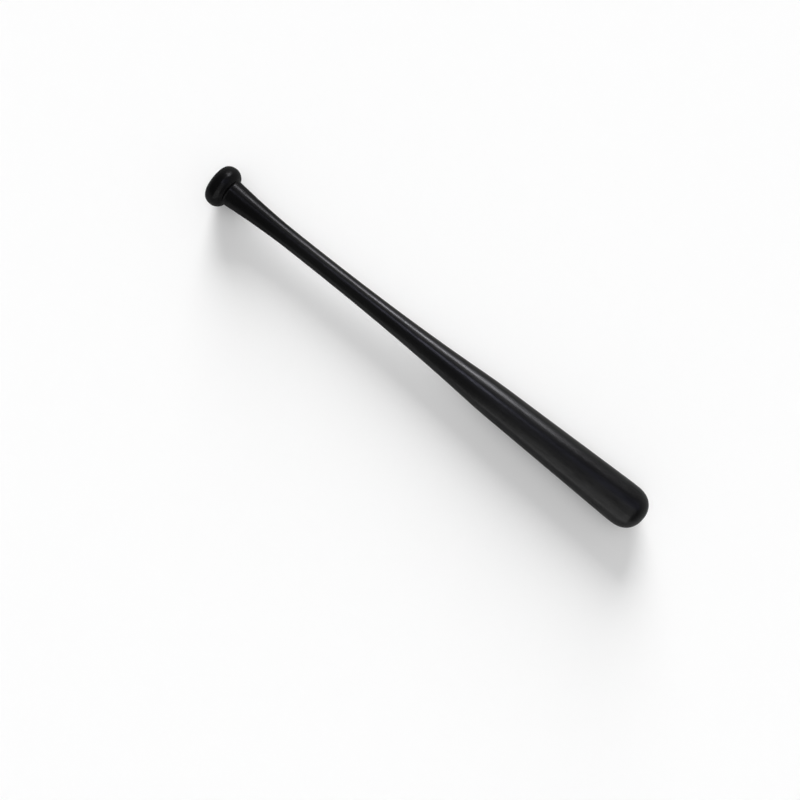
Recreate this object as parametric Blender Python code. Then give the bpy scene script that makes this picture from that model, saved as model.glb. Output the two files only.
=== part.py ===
"""Wooden baseball bat, turned in one piece and finished in gloss black lacquer.

The bat lies along X with the knob at -X and the barrel at +X, +Z up. The origin is midway
along its length, straight under the axis and level with the barrel's lowest flat. Every
outline below is written as points (distance from the knob's end face, radius), in metres,
and turned about the bat's axis.
"""

import math

import bpy

# The whole bat
LENGTH = 0.711
SEGMENTS = 32

# Knob: a flat end face, a full round rim and a small fillet into the handle
KNOB_DIAMETER = 0.0575
KNOB_THICKNESS = 0.0257
KNOB_FACE_DIAMETER = 0.0300
KNOB_RIM_DISTANCE = 0.0148
KNOB_FACE_FULLNESS = 2.45
KNOB_SIDE_FULLNESS = 1.6
KNOB_FILLET_RADIUS = 0.0020

# Handle: flares towards the knob, and is thinnest where the hands close on it
NECK_DIAMETER = 0.0366
NECK_SLOPE = -0.098
GRIP_DISTANCE = 0.133
GRIP_LENGTH = 0.016
GRIP_DIAMETER = 0.0253

# Barrel: a steepening taper, a shoulder where it eases, a long cone and a domed end
BARREL_DIAMETER = 0.0586
BARREL_LENGTH = 0.1905
SHOULDER_LENGTH = 0.0895
SHOULDER_DIAMETER = 0.0496
TAPER_DIAMETER = 0.0428
TAPER_SLOPE = 0.0705
CROWN_LENGTH = 0.016
DOME_LENGTH = 0.0318
DOME_FULLNESS = 2.4

# Hole in the knob's end face that the dipping hook leaves
HOOK_HOLE_DIAMETER = 0.0040
HOOK_HOLE_DEPTH = 0.020

# Lacquer film, and the clearance between it and the wood
LACQUER_THICKNESS = 0.0005
LACQUER_CLEARANCE = 0.0003

# Steps that each stretch of the outline is cut into
KNOB_FACE_STEPS = 8
KNOB_SIDE_STEPS = 6
FILLET_STEPS = 4
FLARE_STEPS = 7
TAPER_STEPS = 10
SHOULDER_STEPS = 5
CONE_STEPS = 3
CROWN_STEPS = 2
DOME_STEPS = 9

# Surfaces
WOOD_COLOUR = (0.62, 0.43, 0.24, 1.0)
WOOD_ROUGHNESS = 0.60
LACQUER_COLOUR = (0.006, 0.006, 0.007, 1.0)
LACQUER_ROUGHNESS = 0.22


def clear_scene():
    for item in list(bpy.data.objects):
        bpy.data.objects.remove(item, do_unlink=True)


def surface(name, colour, roughness):
    material = bpy.data.materials.new(name)
    material.use_nodes = True
    shader = material.node_tree.nodes["Principled BSDF"]
    shader.inputs["Base Color"].default_value = colour
    shader.inputs["Roughness"].default_value = roughness
    shader.inputs["Metallic"].default_value = 0.0
    return material


def quarter(along, across, fullness, steps):
    """Rounding from a point where the outline runs along the axis to one where it runs across it.

    A fullness of 2 is a quarter of an ellipse, more is squarer and less is flatter.
    """
    points = []
    for step in range(steps + 1):
        angle = 0.5 * math.pi * step / steps
        run = math.sin(angle) ** (2 / fullness) if step else 0.0
        drop = math.cos(angle) ** (2 / fullness) if step < steps else 0.0
        points.append((
            along[0] + (across[0] - along[0]) * run,
            across[1] + (along[1] - across[1]) * drop,
        ))
    return points


def sweep(start, end, steps):
    """Smooth curve between two stations, each a distance, a radius and the radius's slope there."""
    span = end[0] - start[0]
    points = []
    for step in range(steps + 1):
        t = step / steps
        radius = (
            (1 + 2 * t) * (1 - t) ** 2 * start[1]
            + t * (1 - t) ** 2 * span * start[2]
            + t * t * (3 - 2 * t) * end[1]
            - t * t * (1 - t) * span * end[2]
        )
        points.append((start[0] + span * t, radius))
    return points


def joined(*stretches):
    """One outline from stretches that each begin where the one before ends."""
    points = list(stretches[0])
    for stretch in stretches[1:]:
        points += stretch[1:]
    return points


def knob_outline():
    """From the edge of the hook hole, over the rim, to the start of the fillet."""
    rim = (KNOB_RIM_DISTANCE, KNOB_DIAMETER / 2)
    face_edge = (0.0, KNOB_FACE_DIAMETER / 2)
    tilt = math.atan(NECK_SLOPE)
    fillet_start = (KNOB_THICKNESS, NECK_DIAMETER / 2 + KNOB_FILLET_RADIUS * math.cos(tilt))
    face = [(0.0, HOOK_HOLE_DIAMETER / 2), face_edge]
    towards_rim = quarter(rim, face_edge, KNOB_FACE_FULLNESS, KNOB_FACE_STEPS)[::-1]
    towards_handle = quarter(rim, fillet_start, KNOB_SIDE_FULLNESS, KNOB_SIDE_STEPS)
    return joined(face, towards_rim, towards_handle)


def fillet_outline():
    """Hollow rounding that leaves the knob square to the axis and meets the handle's flare."""
    tilt = math.atan(NECK_SLOPE)
    centre = (
        KNOB_THICKNESS + KNOB_FILLET_RADIUS,
        NECK_DIAMETER / 2 + KNOB_FILLET_RADIUS * math.cos(tilt),
    )
    points = []
    for step in range(FILLET_STEPS + 1):
        angle = (0.5 * math.pi + tilt) * step / FILLET_STEPS
        points.append((
            centre[0] - KNOB_FILLET_RADIUS * math.cos(angle),
            centre[1] - KNOB_FILLET_RADIUS * math.sin(angle),
        ))
    return points


def shaft_outline():
    """From the fillet, along the grip and the taper, to the widest ring of the barrel."""
    neck = (fillet_outline()[-1][0], NECK_DIAMETER / 2, NECK_SLOPE)
    grip_start = (GRIP_DISTANCE, GRIP_DIAMETER / 2, 0.0)
    grip_end = (GRIP_DISTANCE + GRIP_LENGTH, GRIP_DIAMETER / 2, 0.0)
    shoulder_distance = LENGTH - BARREL_LENGTH
    widest_distance = LENGTH - DOME_LENGTH
    cone_run = widest_distance - CROWN_LENGTH / 2 - shoulder_distance
    cone_slope = (BARREL_DIAMETER - SHOULDER_DIAMETER) / 2 / cone_run
    taper = (shoulder_distance - SHOULDER_LENGTH, TAPER_DIAMETER / 2, TAPER_SLOPE)
    shoulder = (shoulder_distance, SHOULDER_DIAMETER / 2, cone_slope)
    crown = (
        widest_distance - CROWN_LENGTH,
        BARREL_DIAMETER / 2 - cone_slope * CROWN_LENGTH / 2,
        cone_slope,
    )
    widest = (widest_distance, BARREL_DIAMETER / 2, 0.0)
    return joined(
        sweep(neck, grip_start, FLARE_STEPS),
        [grip_start[:2], grip_end[:2]],
        sweep(grip_end, taper, TAPER_STEPS),
        sweep(taper, shoulder, SHOULDER_STEPS),
        sweep(shoulder, crown, CONE_STEPS),
        sweep(crown, widest, CROWN_STEPS),
    )


def outside_outline():
    """The finished bat's outline, from the edge of the hook hole to the tip of the barrel."""
    widest = (LENGTH - DOME_LENGTH, BARREL_DIAMETER / 2)
    dome = quarter(widest, (LENGTH, 0.0), DOME_FULLNESS, DOME_STEPS)
    return joined(knob_outline(), fillet_outline(), shaft_outline(), dome)


def inset(points, depth):
    """The same outline, moved square to itself into the bat."""
    moved = []
    last = len(points) - 1
    for index, (distance, radius) in enumerate(points):
        before = points[max(index - 1, 0)]
        after = points[min(index + 1, last)]
        run = after[0] - before[0]
        rise = after[1] - before[1]
        if index in (0, last):
            run = 0.0
        size = math.hypot(run, rise)
        moved.append((distance + rise * depth / size, radius - run * depth / size))
    return moved


def turned(name, outline, material, parent):
    """A solid of revolution from an outline that starts and ends on the axis.

    The outline stands half a segment off the vertical, so that one flat faces straight down.
    """
    phase = math.pi / SEGMENTS
    corners = [(x, radius * math.sin(phase), radius * math.cos(phase)) for x, radius in outline]
    edges = [(index, index + 1) for index in range(len(corners) - 1)]
    mesh = bpy.data.meshes.new(name)
    mesh.from_pydata(corners, edges, [])
    piece = bpy.data.objects.new(name, mesh)
    bpy.context.scene.collection.objects.link(piece)
    piece.parent = parent
    piece.data.materials.append(material)
    screw = piece.modifiers.new("turning", "SCREW")
    screw.axis = "X"
    screw.angle = 2 * math.pi
    screw.steps = SEGMENTS
    screw.render_steps = SEGMENTS
    screw.use_merge_vertices = True
    screw.merge_threshold = 0.00001
    screw.use_smooth_shade = True
    return piece


def turned_body(parent):
    """The solid wood: knob, handle, barrel and the blind hook hole."""
    skin = inset(outside_outline(), LACQUER_THICKNESS + LACQUER_CLEARANCE)
    hole_bottom = [(HOOK_HOLE_DEPTH, HOOK_HOLE_DIAMETER / 2), (HOOK_HOLE_DEPTH, 0.0)]
    wood = surface("bare_wood", WOOD_COLOUR, WOOD_ROUGHNESS)
    return turned("turned_body", skin[::-1] + hole_bottom, wood, parent)


def lacquer_coat(parent):
    """The film all over the wood, open only at the hook hole."""
    outside = outside_outline()
    inside = inset(outside, LACQUER_THICKNESS)
    lacquer = surface("gloss_black_lacquer", LACQUER_COLOUR, LACQUER_ROUGHNESS)
    return turned("lacquer_coat", outside[::-1] + inside, lacquer, parent)


def main():
    clear_scene()
    axis = bpy.data.objects.new("bat_axis", None)
    bpy.context.scene.collection.objects.link(axis)
    axis.location = (-LENGTH / 2, 0.0, BARREL_DIAMETER / 2 * math.cos(math.pi / SEGMENTS))
    turned_body(axis)
    lacquer_coat(axis)


main()
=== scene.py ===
"""A wooden baseball bat in gloss black lacquer, lying on a pale studio floor."""

import math

import bpy
from mathutils import Matrix, Vector


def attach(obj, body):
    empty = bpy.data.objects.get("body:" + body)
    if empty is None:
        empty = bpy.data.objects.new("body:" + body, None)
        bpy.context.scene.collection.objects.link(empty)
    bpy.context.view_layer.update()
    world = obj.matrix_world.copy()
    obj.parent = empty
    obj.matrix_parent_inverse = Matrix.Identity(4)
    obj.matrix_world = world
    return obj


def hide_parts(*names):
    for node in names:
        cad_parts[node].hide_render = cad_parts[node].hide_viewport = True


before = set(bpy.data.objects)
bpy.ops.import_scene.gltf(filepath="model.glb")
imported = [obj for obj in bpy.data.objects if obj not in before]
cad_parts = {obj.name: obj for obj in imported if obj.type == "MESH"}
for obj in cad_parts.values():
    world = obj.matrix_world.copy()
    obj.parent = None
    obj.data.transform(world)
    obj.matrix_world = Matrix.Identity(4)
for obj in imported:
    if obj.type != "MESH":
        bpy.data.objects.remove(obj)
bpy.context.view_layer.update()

# Sizes, as the solids have them. Distances run along the bat from the knob's end face
LENGTH = 0.711
CAD_SEGMENTS = 32

KNOB_DIAMETER = 0.0575
KNOB_THICKNESS = 0.0257
KNOB_FACE_DIAMETER = 0.0300
KNOB_RIM_DISTANCE = 0.0148
KNOB_FACE_FULLNESS = 2.45
KNOB_SIDE_FULLNESS = 1.6
KNOB_FILLET_RADIUS = 0.0020

NECK_DIAMETER = 0.0366
NECK_SLOPE = -0.098
GRIP_DISTANCE = 0.133
GRIP_LENGTH = 0.016
GRIP_DIAMETER = 0.0253

BARREL_DIAMETER = 0.0586
BARREL_LENGTH = 0.1905
SHOULDER_LENGTH = 0.0895
SHOULDER_DIAMETER = 0.0496
TAPER_DIAMETER = 0.0428
TAPER_SLOPE = 0.0705
CROWN_LENGTH = 0.016
DOME_LENGTH = 0.0318
DOME_FULLNESS = 2.4

HOOK_HOLE_DIAMETER = 0.0040
LACQUER_THICKNESS = 0.0005

AXIS_HEIGHT = BARREL_DIAMETER / 2 * math.cos(math.pi / CAD_SEGMENTS)
FLOOR_HEIGHT = AXIS_HEIGHT - BARREL_DIAMETER / 2

# Steps that each stretch of the outline is cut into, and segments round the bat
KNOB_FACE_STEPS = 32
KNOB_SIDE_STEPS = 24
FILLET_STEPS = 10
FLARE_STEPS = 40
GRIP_STEPS = 8
TAPER_STEPS = 100
SHOULDER_STEPS = 32
CONE_STEPS = 40
CROWN_STEPS = 10
DOME_STEPS = 40
SEGMENTS = 128

# A smaller radius than this is a point on the axis, and a sharper angle is an edge
ON_AXIS = 1e-7
SHARP_ANGLE = math.radians(50)

# Noise scales, in cells to the metre along the bat and in the two directions across it
WAVE_SCALE = (9.0, 42.0, 42.0)
PORE_SCALE = (26.0, 1150.0, 1150.0)
PEEL_SCALE = (620.0, 620.0, 620.0)
PATCH_SCALE = (14.0, 36.0, 36.0)
TONE_SCALE = (5.0, 30.0, 30.0)
RING_SCALE = (8.0, 95.0, 95.0)
FIBRE_SCALE = (30.0, 900.0, 900.0)

# Noise values at which each ramp begins and ends
WHOLE = (0.0, 1.0)
PORE_EDGES = (0.34, 0.50)
PATCH_EDGES = (0.30, 0.72)
TONE_EDGES = (0.35, 0.65)
FIBRE_EDGES = (0.3, 0.7)

# Relief, in metres
WAVE_HEIGHT = 0.00022
PORE_DEPTH = 0.000022
PEEL_HEIGHT = 0.0000035
FIBRE_HEIGHT = 0.00006

# Gloss over the black: its weight outside and inside the dulled patches, and what is left
# of it inside and outside the pores, and on the rubbed handle and off it. The rubbed place
# ends between two distances from the bat's middle, and its border wanders by this much
COAT_ROUGHNESS = 0.235
COAT_BY_PATCH = (0.375, 0.29)
COAT_BY_PORE = (0.66, 1.0)
COAT_BY_RUBBING = (0.50, 1.0)
RUBBED_EDGES = (-0.30, -0.20)
RUBBED_WANDER = (-0.02, 0.02)

PAINT_ROUGHNESS = (0.45, 0.60)
PAINT_DARK = (0.0012, 0.0012, 0.0014, 1.0)
PAINT_LIGHT = (0.0020, 0.0020, 0.0022, 1.0)

WOOD_ROUGHNESS = (0.55, 0.72)
EARLY_WOOD = ((0.50, 0.30, 0.14, 1.0), (0.66, 0.46, 0.26, 1.0))
LATE_WOOD = ((0.34, 0.19, 0.085, 1.0), (0.50, 0.31, 0.15, 1.0))

FLOOR_COLOUR = (0.96, 0.96, 0.96, 1.0)
FLOOR_ROUGHNESS = 0.9
FLOOR_REACH = 30.0

# Camera: straight above the bat, turned so that the bat slants across the picture
TURN = math.radians(38.376)
CAMERA_PLACE = (0.01162, -0.07532, AXIS_HEIGHT + 1.30578)
CAMERA_LENS = 45.0
SENSOR_WIDTH = 36.0

# Suns stand this far off, and the key leans this far from straight above
SUN_DISTANCE = 4.0
KEY_TILT = math.radians(71)

WHITE = (1.0, 1.0, 1.0)
DAYLIGHT = (0.94, 0.94, 1.0)
COOL = (0.78, 0.79, 1.0)
COOLER = (0.66, 0.68, 1.0)
UP = (0.0, 0.0, 1.0)
AWAY = (0.0, 1.0, 0.0)

# The room's brightness at the horizon and overhead. It falls from the first height to one
# that grows with the direction's Y. Heights and Y are those of a direction of length 1
HORIZON_STRENGTH = 1.0
OVERHEAD_STRENGTH = 0.31
FALL_START = 0.02
FALL_SIDES = (-0.5, 0.8)
FALL_ENDS = (0.25, 0.80)


def placed(name, data):
    """A new object in the scene."""
    item = bpy.data.objects.new(name, data)
    bpy.context.scene.collection.objects.link(item)
    return item


# The bat's outline: points of distance and radius
def quarter(along, across, fullness, steps):
    """Rounding from where the outline runs along the axis to where it runs across it."""
    points = []
    for step in range(steps + 1):
        angle = 0.5 * math.pi * step / steps
        run = math.sin(angle) ** (2 / fullness) if step else 0.0
        drop = math.cos(angle) ** (2 / fullness) if step < steps else 0.0
        points.append((
            along[0] + (across[0] - along[0]) * run,
            across[1] + (along[1] - across[1]) * drop,
        ))
    return points


def sweep(start, end, steps):
    """Smooth curve between two stations of distance, radius and the radius's slope."""
    span = end[0] - start[0]
    points = []
    for step in range(steps + 1):
        t = step / steps
        radius = (
            (1 + 2 * t) * (1 - t) ** 2 * start[1]
            + t * (1 - t) ** 2 * span * start[2]
            + t * t * (3 - 2 * t) * end[1]
            - t * t * (1 - t) * span * end[2]
        )
        points.append((start[0] + span * t, radius))
    return points


def joined(*stretches):
    """One outline from stretches that each begin where the one before ends."""
    points = list(stretches[0])
    for stretch in stretches[1:]:
        points += stretch[1:]
    return points


def outside_outline():
    """The finished bat's outline, from the edge of the hook hole to the tip of the barrel."""
    tilt = math.atan(NECK_SLOPE)
    rim = (KNOB_RIM_DISTANCE, KNOB_DIAMETER / 2)
    face_edge = (0.0, KNOB_FACE_DIAMETER / 2)
    fillet_centre = (
        KNOB_THICKNESS + KNOB_FILLET_RADIUS,
        NECK_DIAMETER / 2 + KNOB_FILLET_RADIUS * math.cos(tilt),
    )
    fillet = []
    for step in range(FILLET_STEPS + 1):
        angle = (0.5 * math.pi + tilt) * step / FILLET_STEPS
        fillet.append((
            fillet_centre[0] - KNOB_FILLET_RADIUS * math.cos(angle),
            fillet_centre[1] - KNOB_FILLET_RADIUS * math.sin(angle),
        ))
    neck = (fillet[-1][0], NECK_DIAMETER / 2, NECK_SLOPE)
    grip_start = (GRIP_DISTANCE, GRIP_DIAMETER / 2, 0.0)
    grip_end = (GRIP_DISTANCE + GRIP_LENGTH, GRIP_DIAMETER / 2, 0.0)
    shoulder_distance = LENGTH - BARREL_LENGTH
    widest_distance = LENGTH - DOME_LENGTH
    cone_run = widest_distance - CROWN_LENGTH / 2 - shoulder_distance
    cone_slope = (BARREL_DIAMETER - SHOULDER_DIAMETER) / 2 / cone_run
    taper = (shoulder_distance - SHOULDER_LENGTH, TAPER_DIAMETER / 2, TAPER_SLOPE)
    shoulder = (shoulder_distance, SHOULDER_DIAMETER / 2, cone_slope)
    crown = (
        widest_distance - CROWN_LENGTH,
        BARREL_DIAMETER / 2 - cone_slope * CROWN_LENGTH / 2,
        cone_slope,
    )
    widest = (widest_distance, BARREL_DIAMETER / 2, 0.0)
    return joined(
        [(0.0, HOOK_HOLE_DIAMETER / 2), (0.0, KNOB_FACE_DIAMETER / 4), face_edge],
        quarter(rim, face_edge, KNOB_FACE_FULLNESS, KNOB_FACE_STEPS)[::-1],
        quarter(rim, fillet[0], KNOB_SIDE_FULLNESS, KNOB_SIDE_STEPS),
        fillet,
        sweep(neck, grip_start, FLARE_STEPS),
        sweep(grip_start, grip_end, GRIP_STEPS),
        sweep(grip_end, taper, TAPER_STEPS),
        sweep(taper, shoulder, SHOULDER_STEPS),
        sweep(shoulder, crown, CONE_STEPS),
        sweep(crown, widest, CROWN_STEPS),
        quarter(widest[:2], (LENGTH, 0.0), DOME_FULLNESS, DOME_STEPS),
    )


def inset(points, depth):
    """The same outline, moved square to itself into the bat."""
    moved = []
    last = len(points) - 1
    for index, (distance, radius) in enumerate(points):
        before = points[max(index - 1, 0)]
        after = points[min(index + 1, last)]
        run = after[0] - before[0]
        rise = after[1] - before[1]
        if index in (0, last):
            run = 0.0
        size = math.hypot(run, rise)
        moved.append((distance + rise * depth / size, radius - run * depth / size))
    return moved


def turned(name, outline, material):
    """A closed surface of revolution from an outline that starts and ends on the axis."""
    vertices = []
    rings = []
    for distance, radius in outline:
        x = distance - LENGTH / 2
        if radius < ON_AXIS:
            rings.append([len(vertices)])
            vertices.append((x, 0.0, AXIS_HEIGHT))
            continue
        ring = []
        for segment in range(SEGMENTS):
            angle = 2 * math.pi * segment / SEGMENTS
            y = radius * math.sin(angle)
            z = AXIS_HEIGHT + radius * math.cos(angle)
            ring.append(len(vertices))
            vertices.append((x, y, z))
        rings.append(ring)
    faces = []
    for ring, following in zip(rings[:-1], rings[1:]):
        for segment in range(SEGMENTS):
            beside = (segment + 1) % SEGMENTS
            if len(ring) == 1:
                face = (ring[0], following[beside], following[segment])
            elif len(following) == 1:
                face = (ring[segment], ring[beside], following[0])
            else:
                face = (ring[segment], ring[beside], following[beside], following[segment])
            faces.append(face)
    mesh = bpy.data.meshes.new(name)
    mesh.from_pydata(vertices, [], faces)
    mesh.validate()
    mesh.shade_smooth()
    mesh.set_sharp_from_angle(angle=SHARP_ANGLE)
    piece = placed(name, mesh)
    piece.data.materials.append(material)
    return piece


# Materials
class Nodes:
    """Short calls for building one material."""

    # The factor, the two colours and the result of a Mix node that mixes colours
    MIX_FACTOR = 0
    MIX_COLOURS = (6, 7)
    MIX_RESULT = 2

    def __init__(self, name):
        self.material = bpy.data.materials.new(name)
        self.material.use_nodes = True
        self.tree = self.material.node_tree
        self.shader = self.tree.nodes["Principled BSDF"]

    def link(self, out, into):
        self.tree.links.new(out, into)

    def own_place(self):
        """The bat's own coordinates, in metres."""
        return self.tree.nodes.new("ShaderNodeTexCoord").outputs["Object"]

    def place(self, scale):
        """The bat's own coordinates, stretched."""
        mapping = self.tree.nodes.new("ShaderNodeMapping")
        mapping.inputs["Scale"].default_value = scale
        self.link(self.own_place(), mapping.inputs["Vector"])
        return mapping.outputs["Vector"]

    def along(self):
        """Distance along the bat from its middle, in metres."""
        split = self.tree.nodes.new("ShaderNodeSeparateXYZ")
        self.link(self.own_place(), split.inputs["Vector"])
        return split.outputs["X"]

    def noise(self, scale, detail=2.0, roughness=0.5, distortion=0.0):
        texture = self.tree.nodes.new("ShaderNodeTexNoise")
        texture.inputs["Scale"].default_value = 1.0
        texture.inputs["Detail"].default_value = detail
        texture.inputs["Roughness"].default_value = roughness
        texture.inputs["Distortion"].default_value = distortion
        self.link(self.place(scale), texture.inputs["Vector"])
        return texture.outputs["Fac"]

    def rings(self, scale, detail, distortion):
        """Growth rings about the bat's axis."""
        texture = self.tree.nodes.new("ShaderNodeTexWave")
        texture.wave_type = "RINGS"
        texture.rings_direction = "X"
        texture.inputs["Scale"].default_value = 1.0
        texture.inputs["Detail"].default_value = detail
        texture.inputs["Distortion"].default_value = distortion
        self.link(self.place(scale), texture.inputs["Vector"])
        return texture.outputs["Fac"]

    def ramp(self, value, edges, ends=WHOLE):
        """Goes softly from one end to the other while the value passes between the edges."""
        node = self.tree.nodes.new("ShaderNodeMapRange")
        node.interpolation_type = "SMOOTHSTEP"
        names = ("From Min", "From Max", "To Min", "To Max")
        for name, number in zip(names, edges + ends):
            node.inputs[name].default_value = number
        self.link(value, node.inputs["Value"])
        return node.outputs["Result"]

    def maths(self, operation, a, b):
        node = self.tree.nodes.new("ShaderNodeMath")
        node.operation = operation
        for socket, value in zip(node.inputs, (a, b)):
            self.link(value, socket)
        return node.outputs["Value"]

    def mix(self, factor, a, b):
        """Mixes two colours, each written out or from another node."""
        node = self.tree.nodes.new("ShaderNodeMix")
        node.data_type = "RGBA"
        self.link(factor, node.inputs[self.MIX_FACTOR])
        for index, value in zip(self.MIX_COLOURS, (a, b)):
            if isinstance(value, tuple):
                node.inputs[index].default_value = value
            else:
                self.link(value, node.inputs[index])
        return node.outputs[self.MIX_RESULT]

    def bump(self, height, distance, normal=None):
        node = self.tree.nodes.new("ShaderNodeBump")
        node.inputs["Strength"].default_value = 1.0
        node.inputs["Distance"].default_value = distance
        self.link(height, node.inputs["Height"])
        if normal is not None:
            self.link(normal, node.inputs["Normal"])
        return node.outputs["Normal"]


def black_lacquer():
    n = Nodes("gloss_black_lacquer")
    # Faint waves left by sanding and by the wood's slower and faster drying grain
    waves = n.noise(WAVE_SCALE, detail=1.5)
    normal = n.bump(waves, WAVE_HEIGHT)
    # Pores of the grain, drawn out along the bat, that the film only half fills
    pores = n.ramp(n.noise(PORE_SCALE, detail=3.0, roughness=0.6), PORE_EDGES)
    normal = n.bump(pores, PORE_DEPTH, normal)
    # Orange peel of the sprayed film
    peel = n.noise(PEEL_SCALE, detail=1.0)
    normal = n.bump(peel, PEEL_HEIGHT, normal)
    n.link(normal, n.shader.inputs["Normal"])
    n.link(normal, n.shader.inputs["Coat Normal"])
    # Handling dulls the film in soft patches, and the pores stay duller than the film between
    patches = n.noise(PATCH_SCALE, detail=4.0, roughness=0.62, distortion=0.4)
    gloss = n.ramp(patches, PATCH_EDGES, COAT_BY_PATCH)
    gloss = n.maths("MULTIPLY", gloss, n.ramp(pores, WHOLE, COAT_BY_PORE))
    # The hand that holds the bat above its knob has rubbed the film duller there
    rubbed = n.maths("ADD", n.along(), n.ramp(patches, PATCH_EDGES, RUBBED_WANDER))
    gloss = n.maths("MULTIPLY", gloss, n.ramp(rubbed, RUBBED_EDGES, COAT_BY_RUBBING))
    n.link(gloss, n.shader.inputs["Coat Weight"])
    n.shader.inputs["Coat Roughness"].default_value = COAT_ROUGHNESS
    # The black paint under the gloss mirrors nothing of its own
    n.shader.inputs["Specular IOR Level"].default_value = 0.0
    n.link(n.ramp(patches, PATCH_EDGES, PAINT_ROUGHNESS), n.shader.inputs["Roughness"])
    tone = n.ramp(n.noise(TONE_SCALE, detail=2.0), TONE_EDGES)
    n.link(n.mix(tone, PAINT_DARK, PAINT_LIGHT), n.shader.inputs["Base Color"])
    return n.material


def bare_wood():
    n = Nodes("bare_wood")
    rings = n.rings(RING_SCALE, detail=2.0, distortion=2.2)
    fibres = n.noise(FIBRE_SCALE, detail=4.0, roughness=0.6)
    early = n.mix(fibres, *EARLY_WOOD)
    late = n.mix(fibres, *LATE_WOOD)
    n.link(n.mix(rings, late, early), n.shader.inputs["Base Color"])
    n.link(n.ramp(fibres, FIBRE_EDGES, WOOD_ROUGHNESS), n.shader.inputs["Roughness"])
    n.link(n.bump(fibres, FIBRE_HEIGHT), n.shader.inputs["Normal"])
    return n.material


def floor_paint():
    n = Nodes("floor_paint")
    n.shader.inputs["Base Color"].default_value = FLOOR_COLOUR
    n.shader.inputs["Roughness"].default_value = FLOOR_ROUGHNESS
    n.shader.inputs["Specular IOR Level"].default_value = 0.0
    return n.material


# The bat
outline = outside_outline()
film_outline = outline[::-1] + inset(outline, LACQUER_THICKNESS)
film = turned("lacquer_film", film_outline, black_lacquer())
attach(film, "root")
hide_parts("lacquer_coat")

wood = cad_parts["turned_body"]
wood.data.materials.clear()
wood.data.materials.append(bare_wood())

# The floor
floor_mesh = bpy.data.meshes.new("floor")
floor_mesh.from_pydata(
    [
        (-FLOOR_REACH, -FLOOR_REACH, FLOOR_HEIGHT),
        (FLOOR_REACH, -FLOOR_REACH, FLOOR_HEIGHT),
        (FLOOR_REACH, FLOOR_REACH, FLOOR_HEIGHT),
        (-FLOOR_REACH, FLOOR_REACH, FLOOR_HEIGHT),
    ],
    [],
    [(0, 1, 2, 3)],
)
floor = placed("floor", floor_mesh)
floor.data.materials.append(floor_paint())

# The camera
camera_data = bpy.data.cameras.new("camera")
camera_data.lens = CAMERA_LENS
camera_data.sensor_width = SENSOR_WIDTH
camera = placed("camera", camera_data)
camera.location = CAMERA_PLACE
camera.rotation_euler = (0.0, 0.0, TURN)
bpy.context.scene.camera = camera


# Light
def aimed(item, place, lean):
    """Stands a lamp at a place, facing the middle of the bat, with its Y axis along a direction."""
    item.location = place
    back = (Vector(place) - Vector((0.0, 0.0, AXIS_HEIGHT))).normalized()
    upright = Vector(lean) - back * back.dot(Vector(lean))
    upright.normalize()
    item.rotation_euler = Matrix((upright.cross(back), upright, back)).transposed().to_euler()


def sun(name, place, energy, spread, shadow=True):
    """A lamp for everything but the lacquer's mirror, as soft as its spread in degrees."""
    lamp = bpy.data.lights.new(name, "SUN")
    lamp.energy = energy
    lamp.angle = math.radians(spread)
    lamp.use_shadow = shadow
    item = placed(name, lamp)
    aimed(item, place, AWAY)
    item.visible_glossy = False
    item.visible_camera = False


def softbox(name, place, size, radiance, colour=WHITE, lean=UP):
    """A lamp that only shows in the lacquer."""
    width, height = size
    lamp = bpy.data.lights.new(name, "AREA")
    lamp.shape = "RECTANGLE"
    lamp.size = width
    lamp.size_y = height
    lamp.color = colour
    lamp.energy = radiance * width * height * math.pi
    item = placed(name, lamp)
    aimed(item, place, lean)
    item.visible_camera = False
    item.visible_diffuse = False


# A broad soft key from the top of the picture throws the shadow, and an even fill from above
# keeps it light
key_place = (
    -math.sin(TURN) * math.sin(KEY_TILT) * SUN_DISTANCE,
    math.cos(TURN) * math.sin(KEY_TILT) * SUN_DISTANCE,
    math.cos(KEY_TILT) * SUN_DISTANCE,
)
sun("key", place=key_place, energy=3.70, spread=32)
sun("fill", place=(0.0, 0.0, SUN_DISTANCE), energy=0.88, spread=60, shadow=False)

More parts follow.
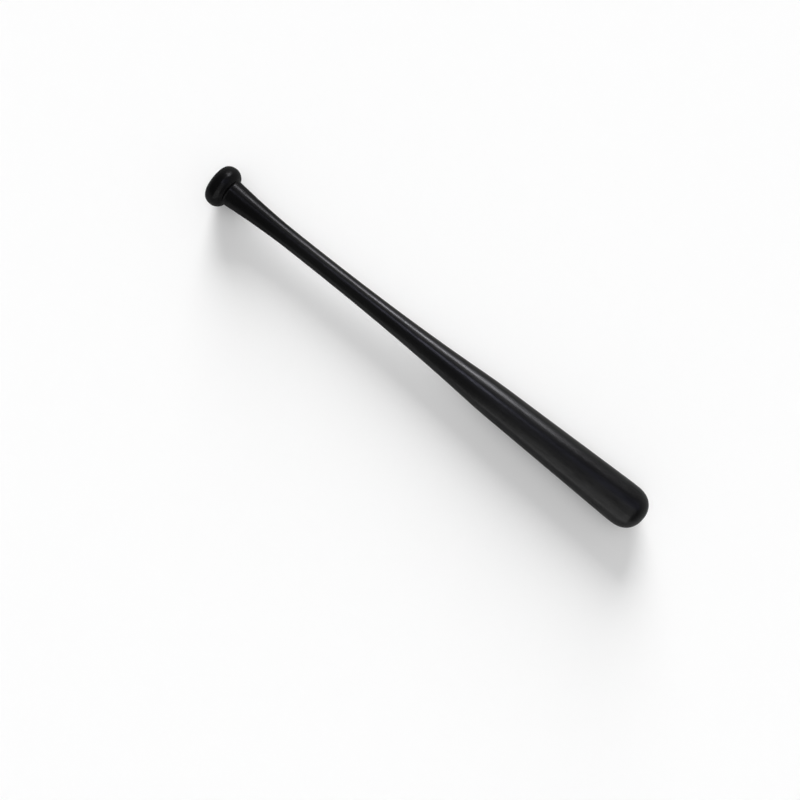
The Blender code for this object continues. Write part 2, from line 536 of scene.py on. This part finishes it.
# A long strip beside the bat draws the bright streak, brighter along the taper, over a
# dimmer screen
softbox("strip", place=(-0.56, 2.75, 1.225), size=(1.78, 0.36), radiance=11.2, colour=DAYLIGHT)
softbox(
    "strip_middle", place=(-0.45, 2.75, 1.225), size=(0.52, 0.36), radiance=34.0, colour=DAYLIGHT,
)
softbox(
    "strip_wide", place=(0.08, 2.75, 1.225), size=(0.54, 1.00), radiance=12.0, colour=DAYLIGHT,
)
softbox("screen", place=(-0.48, 3.20, 0.62), size=(2.06, 1.25), radiance=1.40)
softbox(
    "screen_high", place=(-0.40, 3.00, 1.75), size=(1.75, 3.40), radiance=1.15,
    lean=(0.0, -0.45, 0.90),
)
# A cool box overhead draws the faint band beside it, and a dimmer one the band's soft side
softbox("overhead", place=(-0.125, 0.46, 1.80), size=(0.50, 0.38), radiance=7.3, colour=COOL)
softbox("overhead_dim", place=(0.12, -0.25, 1.80), size=(0.36, 0.70), radiance=0.6, colour=COOL)
# Panels beyond the barrel make its lower half grey, up to a slanting edge, and its upper
# half less dark
softbox(
    "wall_high", place=(2.14, -1.40, 3.94), size=(3.30, 4.67), radiance=1.15,
    lean=(-0.160, -0.962, -0.221),
)
softbox(
    "wall_low", place=(1.94, -4.31, 1.66), size=(3.90, 4.67), radiance=1.90,
    lean=(-0.105, -0.460, -0.875),
)
softbox("ceiling", place=(2.10, 1.70, 3.60), size=(2.80, 4.20), radiance=0.86, colour=COOLER)

# The room: white at the horizon, dim overhead, and sooner dim on the bat's -Y side
world = bpy.data.worlds.new("studio")
bpy.context.scene.world = world
world.use_nodes = True
tree = world.node_tree
background = tree.nodes["Background"]
background.inputs["Color"].default_value = (*WHITE, 1.0)
coordinates = tree.nodes.new("ShaderNodeTexCoord")
split = tree.nodes.new("ShaderNodeSeparateXYZ")
fall_end = tree.nodes.new("ShaderNodeMapRange")
for name, number in zip(("From Min", "From Max", "To Min", "To Max"), FALL_SIDES + FALL_ENDS):
    fall_end.inputs[name].default_value = number
fall = tree.nodes.new("ShaderNodeMapRange")
fall.interpolation_type = "SMOOTHSTEP"
fall.inputs["From Min"].default_value = FALL_START
fall.inputs["To Min"].default_value = HORIZON_STRENGTH
fall.inputs["To Max"].default_value = OVERHEAD_STRENGTH
tree.links.new(coordinates.outputs["Generated"], split.inputs["Vector"])
tree.links.new(split.outputs["Y"], fall_end.inputs["Value"])
tree.links.new(fall_end.outputs["Result"], fall.inputs["From Max"])
tree.links.new(split.outputs["Z"], fall.inputs["Value"])
tree.links.new(fall.outputs["Result"], background.inputs["Strength"])

bpy.context.scene.view_settings.view_transform = "Standard"
